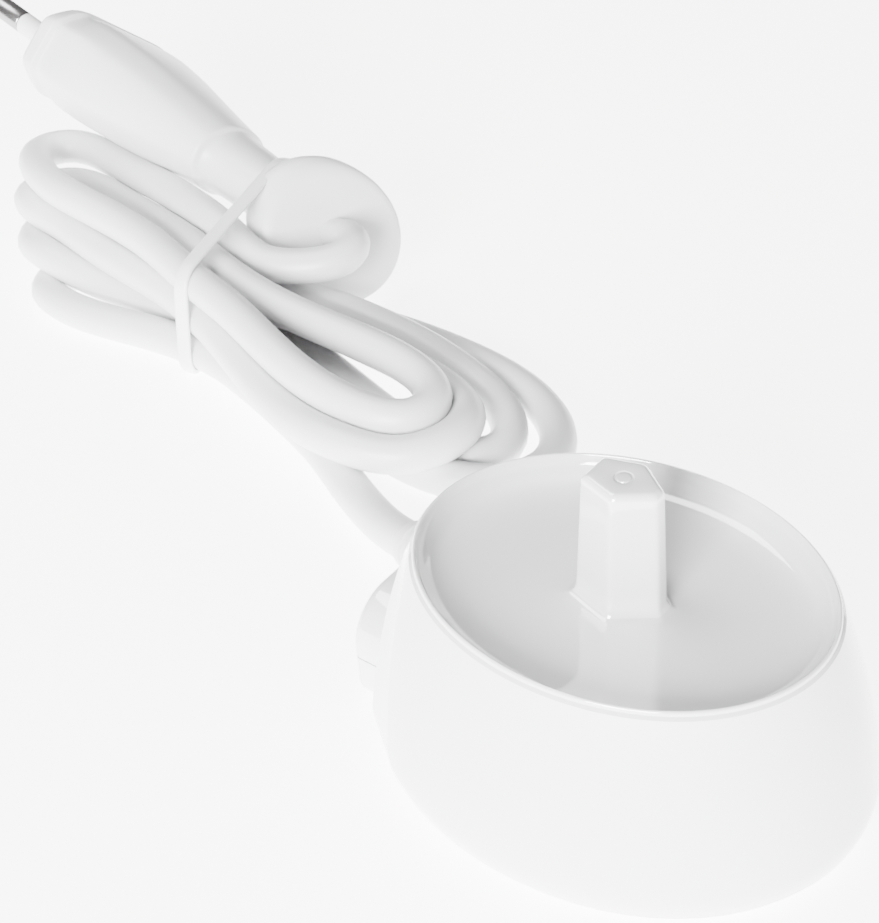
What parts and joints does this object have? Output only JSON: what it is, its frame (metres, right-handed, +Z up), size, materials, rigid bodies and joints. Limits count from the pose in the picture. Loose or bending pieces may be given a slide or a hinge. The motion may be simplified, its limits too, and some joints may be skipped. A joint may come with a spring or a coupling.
{
  "type": "electric toothbrush charger",
  "caption": "Oval inductive charging base with a raised keyed post in a shallow dish, and a mains lead folded in a tied hank that ends in a flat two-pin plug.",
  "frame": {"origin": "bottom centre of the charging base on the surface it stands on, without its lead and plug; the charging post's axis is the Z axis", "axes": "+Z up along the charging post, +Y towards the cord outlet at the rear, +X to the right as seen from the front"},
  "size_m": [0.1106, 0.2124, 0.0444],
  "materials": {
    "shell_white": "glossy white moulding",
    "plate_white": "satin white moulding",
    "pad_rubber": "soft grey pad",
    "seal_rubber": "soft grey gasket",
    "cord_white": "satin flexible jacket",
    "tie_white": "satin white",
    "plug_white": "soft glossy moulding",
    "pin_metal": "nickel plated",
    "sleeve_plastic": "smooth insulating sleeve",
    "ferrite": "dull dark grey ceramic",
    "bobbin_plastic": "plain black",
    "winding_copper": "enamelled copper wire",
    "board_green": "green coated glass fibre",
    "can_aluminium": "plain can",
    "film_yellow": "moulded box",
    "moulded_black": "moulded black",
    "resistor_coat": "dull coating",
    "terminal_metal": "plated",
    "wire_brown": "brown insulation",
    "wire_blue": "blue insulation"
  },
  "bodies": {
    "root": {"housing_shell": "shell_white", "base_plate": "plate_white", "foot_front": "pad_rubber", "foot_left": "pad_rubber", "foot_right": "pad_rubber", "foot_rear": "pad_rubber", "base_seal": "seal_rubber", "outlet_hood": "shell_white", "outlet_tray": "plate_white", "strain_relief": "cord_white", "cord_lead": "cord_white", "cord_tail": "cord_white", "cord_hank": "cord_white", "cable_tie": "tie_white", "plug_body": "plug_white", "plug_pin_upper": "pin_metal", "plug_pin_lower": "pin_metal", "pin_sleeve_upper": "sleeve_plastic", "pin_sleeve_lower": "sleeve_plastic", "ferrite_core": "ferrite", "coil_bobbin": "bobbin_plastic", "primary_winding": "winding_copper", "circuit_board": "board_green", "filter_capacitor": "can_aluminium", "film_capacitor": "film_yellow", "bridge_rectifier": "moulded_black", "switching_transistor": "moulded_black", "fusible_resistor": "resistor_coat", "filter_inductor": "winding_copper", "terminal_left": "terminal_metal", "terminal_right": "terminal_metal", "wire_brown": "wire_brown", "wire_blue": "wire_blue", "cord_clamp": "moulded_black", "clamp_screw_left": "terminal_metal", "clamp_screw_right": "terminal_metal"}
  },
  "joints": []
}
